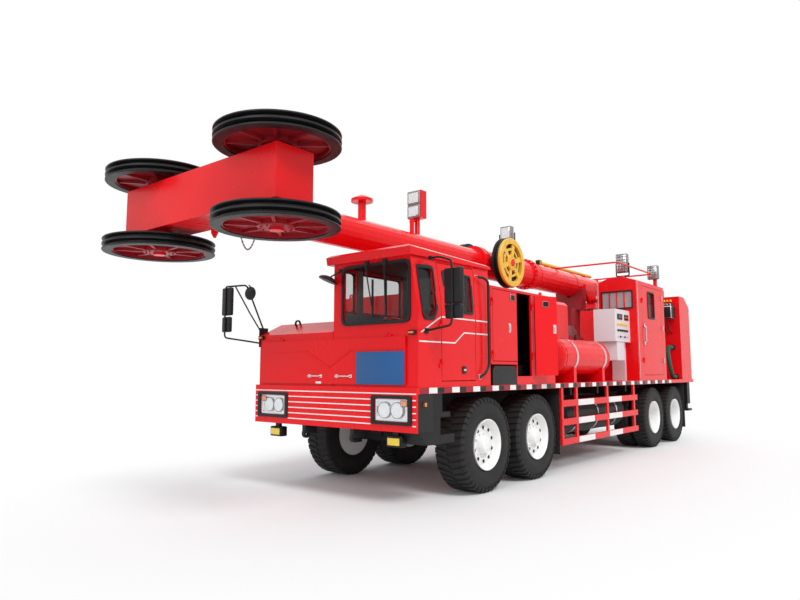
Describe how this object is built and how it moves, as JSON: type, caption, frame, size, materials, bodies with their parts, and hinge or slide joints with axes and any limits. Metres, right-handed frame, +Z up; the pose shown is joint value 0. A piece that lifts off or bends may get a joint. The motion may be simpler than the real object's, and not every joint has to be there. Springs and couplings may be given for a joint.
{
  "type": "workover rig",
  "caption": "Truck carrier with offset cab, side cabinets, a control cabin and a tubular telescoping mast with crown sheaves that is raised over the rear by cylinders.",
  "frame": {"origin": "on the ground under the middle of the bounding box", "axes": "+X to the driver's side (the vehicle's left), +Y to the rear along the vehicle, +Z up"},
  "size_m": [3.66, 13.09, 4.217],
  "materials": {
    "rig_red": "gloss, slightly dusty",
    "shaded_red": "satin",
    "chassis_black": "satin",
    "tyre_rubber": "matt",
    "sheave_yellow": "satin",
    "cab_glass": "clear",
    "bright_steel": "polished",
    "cabinet_grey": "satin",
    "hose_green": "matt",
    "seat_cloth": "woven",
    "engine_grey": "painted"
  },
  "bodies": {
    "carrier": {"air_receiver": "rig_red", "battery_box": "chassis_black", "cab_roof": "rig_red", "cab_shell": "rig_red", "chassis_frame": "chassis_black", "control_cabin": "rig_red", "deck": "rig_red", "driver_seat": "seat_cloth", "engine": "engine_grey", "engine_cover": "rig_red", "entry_steps": "chassis_black", "equipment_cabinet": "rig_red", "front_bumper": "rig_red", "front_suspension": "chassis_black", "fuel_tank": "chassis_black", "green_hose": "hose_green", "hood": "rig_red", "mast_rest": "shaded_red", "mast_support": "rig_red", "mirror_left": "chassis_black", "mirror_right": "chassis_black", "rear_suspension": "chassis_black", "side_guard_left": "rig_red", "side_guard_right": "rig_red", "switch_cabinet": "cabinet_grey", "winch_frame": "shaded_red", "windshield": "cab_glass"},
    "front_panel": {"front_panel": "rig_red"},
    "cab_door": {"cab_door": "rig_red", "door_window": "cab_glass"},
    "cabinet_door_front": {"cabinet_door_front": "rig_red"},
    "cabinet_door_rear": {"cabinet_door_rear": "rig_red"},
    "control_cabin_door": {"control_cabin_door": "rig_red"},
    "mast_lower": {"mast_lower": "rig_red"},
    "mast_upper": {"mast_upper": "rig_red", "crown_beam": "rig_red"},
    "cylinder_barrels": {"cylinder_barrels": "rig_red"},
    "cylinder_rods": {"cylinder_rods": "bright_steel"},
    "winch_drum": {"winch_drum": "bright_steel"},
    "jack_leg_left": {"jack_leg_left": "chassis_black"},
    "jack_leg_right": {"jack_leg_right": "chassis_black"},
    "crown_sheave_lower_left": {"crown_sheave_lower_left": "chassis_black"},
    "crown_sheave_lower_right": {"crown_sheave_lower_right": "chassis_black"},
    "crown_sheave_upper_left": {"crown_sheave_upper_left": "chassis_black"},
    "crown_sheave_upper_right": {"crown_sheave_upper_right": "chassis_black"},
    "guide_sheave_left": {"guide_sheave_left": "sheave_yellow"},
    "guide_sheave_right": {"guide_sheave_right": "sheave_yellow"},
    "knuckle_1_left": {"knuckle_1_left": "chassis_black"},
    "knuckle_1_right": {"knuckle_1_right": "chassis_black"},
    "knuckle_2_left": {"knuckle_2_left": "chassis_black"},
    "knuckle_2_right": {"knuckle_2_right": "chassis_black"},
    "wheel_front_1_left": {"wheel_front_1_left": "tyre_rubber"},
    "wheel_front_1_right": {"wheel_front_1_right": "tyre_rubber"},
    "wheel_front_2_left": {"wheel_front_2_left": "tyre_rubber"},
    "wheel_front_2_right": {"wheel_front_2_right": "tyre_rubber"},
    "wheel_rear_1_left": {"wheel_rear_1_left": "tyre_rubber"},
    "wheel_rear_1_right": {"wheel_rear_1_right": "tyre_rubber"},
    "wheel_rear_2_left": {"wheel_rear_2_left": "tyre_rubber"},
    "wheel_rear_2_right": {"wheel_rear_2_right": "tyre_rubber"}
  },
  "joints": [
    {"name": "front_panel_hinge", "type": "hinge", "parent": "carrier", "child": "front_panel", "pos_m": [0, -4.173, 1.942], "axis": [-1, 0, 0], "range_deg": [0, 75]},
    {"name": "cab_door_hinge", "type": "hinge", "parent": "carrier", "child": "cab_door", "pos_m": [1.399, -3.709, 2], "axis": [0, 0, -1], "range_deg": [0, 75]},
    {"name": "cabinet_door_front_hinge", "type": "hinge", "parent": "carrier", "child": "cabinet_door_front", "pos_m": [1.399, -2.565, 2], "axis": [0, 0, -1], "range_deg": [0, 90]},
    {"name": "cabinet_door_rear_hinge", "type": "hinge", "parent": "carrier", "child": "cabinet_door_rear", "pos_m": [1.399, -1.475, 2], "axis": [0, 0, 1], "range_deg": [-155, 10]},
    {"name": "control_cabin_door_hinge", "type": "hinge", "parent": "carrier", "child": "control_cabin_door", "pos_m": [1.399, 3.211, 2.4], "axis": [0, 0, -1], "range_deg": [0, 95]},
    {"name": "mast_raise", "type": "hinge", "parent": "carrier", "child": "mast_lower", "pos_m": [0, 6.095, 2.35], "axis": [-1, 0, 0], "range_deg": [0, 90]},
    {"name": "mast_extend", "type": "slide", "parent": "mast_lower", "child": "mast_upper", "axis": [0, -1, 0], "range_m": [0, 4.5]},
    {"name": "cylinder_tilt", "type": "hinge", "parent": "carrier", "child": "cylinder_barrels", "pos_m": [0, 5.345, 1.46], "axis": [-1, 0, 0], "range_deg": [0, 73]},
    {"name": "cylinder_slide", "type": "slide", "parent": "cylinder_barrels", "child": "cylinder_rods", "axis": [0, -0.775, 0.6319], "range_m": [0, 1.358]},
    {"name": "crown_sheave_upper_left_spin", "type": "hinge", "parent": "mast_upper", "child": "crown_sheave_upper_left", "pos_m": [1.04, -5.925, 3.691], "axis": [0, 0, 1], "continuous": true},
    {"name": "crown_sheave_lower_left_spin", "type": "hinge", "parent": "mast_upper", "child": "crown_sheave_lower_left", "pos_m": [1.04, -5.925, 2.889], "axis": [0, 0, 1], "continuous": true},
    {"name": "guide_sheave_left_spin", "type": "hinge", "parent": "mast_lower", "child": "guide_sheave_left", "pos_m": [0.34, -0.405, 3.345], "axis": [1, 0, 0], "continuous": true},
    {"name": "crown_sheave_upper_right_spin", "type": "hinge", "parent": "mast_upper", "child": "crown_sheave_upper_right", "pos_m": [-1.04, -5.925, 3.691], "axis": [0, 0, 1], "continuous": true},
    {"name": "crown_sheave_lower_right_spin", "type": "hinge", "parent": "mast_upper", "child": "crown_sheave_lower_right", "pos_m": [-1.04, -5.925, 2.889], "axis": [0, 0, 1], "continuous": true},
    {"name": "guide_sheave_right_spin", "type": "hinge", "parent": "mast_lower", "child": "guide_sheave_right", "pos_m": [-0.34, -0.405, 3.345], "axis": [1, 0, 0], "continuous": true},
    {"name": "winch_drum_spin", "type": "hinge", "parent": "carrier", "child": "winch_drum", "pos_m": [0, 1.945, 1.98], "axis": [1, 0, 0], "continuous": true},
    {"name": "steer_1_left", "type": "hinge", "parent": "carrier", "child": "knuckle_1_left", "pos_m": [0.95, -2.685, 0.6], "axis": [0, 0, 1], "range_deg": [-30, 30]},
    {"name": "wheel_front_1_left_spin", "type": "hinge", "parent": "knuckle_1_left", "child": "wheel_front_1_left", "pos_m": [1.16, -2.685, 0.6], "axis": [1, 0, 0], "continuous": true},
    {"name": "steer_1_right", "type": "hinge", "parent": "carrier", "child": "knuckle_1_right", "pos_m": [-0.95, -2.685, 0.6], "axis": [0, 0, 1], "range_deg": [-30, 30]},
    {"name": "wheel_front_1_right_spin", "type": "hinge", "parent": "knuckle_1_right", "child": "wheel_front_1_right", "pos_m": [-1.16, -2.685, 0.6], "axis": [1, 0, 0], "continuous": true},
    {"name": "steer_2_left", "type": "hinge", "parent": "carrier", "child": "knuckle_2_left", "pos_m": [0.95, -1.33, 0.6], "axis": [0, 0, 1], "range_deg": [-25, 25]},
    {"name": "wheel_front_2_left_spin", "type": "hinge", "parent": "knuckle_2_left", "child": "wheel_front_2_left", "pos_m": [1.16, -1.33, 0.6], "axis": [1, 0, 0], "continuous": true},
    {"name": "steer_2_right", "type": "hinge", "parent": "carrier", "child": "knuckle_2_right", "pos_m": [-0.95, -1.33, 0.6], "axis": [0, 0, 1], "range_deg": [-25, 25]},
    {"name": "wheel_front_2_right_spin", "type": "hinge", "parent": "knuckle_2_right", "child": "wheel_front_2_right", "pos_m": [-1.16, -1.33, 0.6], "axis": [1, 0, 0], "continuous": true},
    {"name": "wheel_rear_1_left_spin", "type": "hinge", "parent": "carrier", "child": "wheel_rear_1_left", "pos_m": [1.05, 3.75, 0.6], "axis": [1, 0, 0], "continuous": true},
    {"name": "wheel_rear_1_right_spin", "type": "hinge", "parent": "carrier", "child": "wheel_rear_1_right", "pos_m": [-1.05, 3.75, 0.6], "axis": [1, 0, 0], "continuous": true},
    {"name": "wheel_rear_2_left_spin", "type": "hinge", "parent": "carrier", "child": "wheel_rear_2_left", "pos_m": [1.05, 5.129, 0.6], "axis": [1, 0, 0], "continuous": true},
    {"name": "wheel_rear_2_right_spin", "type": "hinge", "parent": "carrier", "child": "wheel_rear_2_right", "pos_m": [-1.05, 5.129, 0.6], "axis": [1, 0, 0], "continuous": true},
    {"name": "jack_left_slide", "type": "slide", "parent": "carrier", "child": "jack_leg_left", "axis": [0, 0, -1], "range_m": [0, 0.5]},
    {"name": "jack_right_slide", "type": "slide", "parent": "carrier", "child": "jack_leg_right", "axis": [0, 0, -1], "range_m": [0, 0.5]}
  ],
  "couplings": [
    {"joint": "cylinder_tilt", "follows": "mast_raise", "ratio": 0.8089},
    {"joint": "cylinder_slide", "follows": "mast_raise", "m_per_rad": 0.8631},
    {"joint": "steer_1_right", "follows": "steer_1_left", "ratio": 1},
    {"joint": "steer_2_left", "follows": "steer_1_left", "ratio": 0.81},
    {"joint": "steer_2_right", "follows": "steer_1_left", "ratio": 0.81}
  ]
}
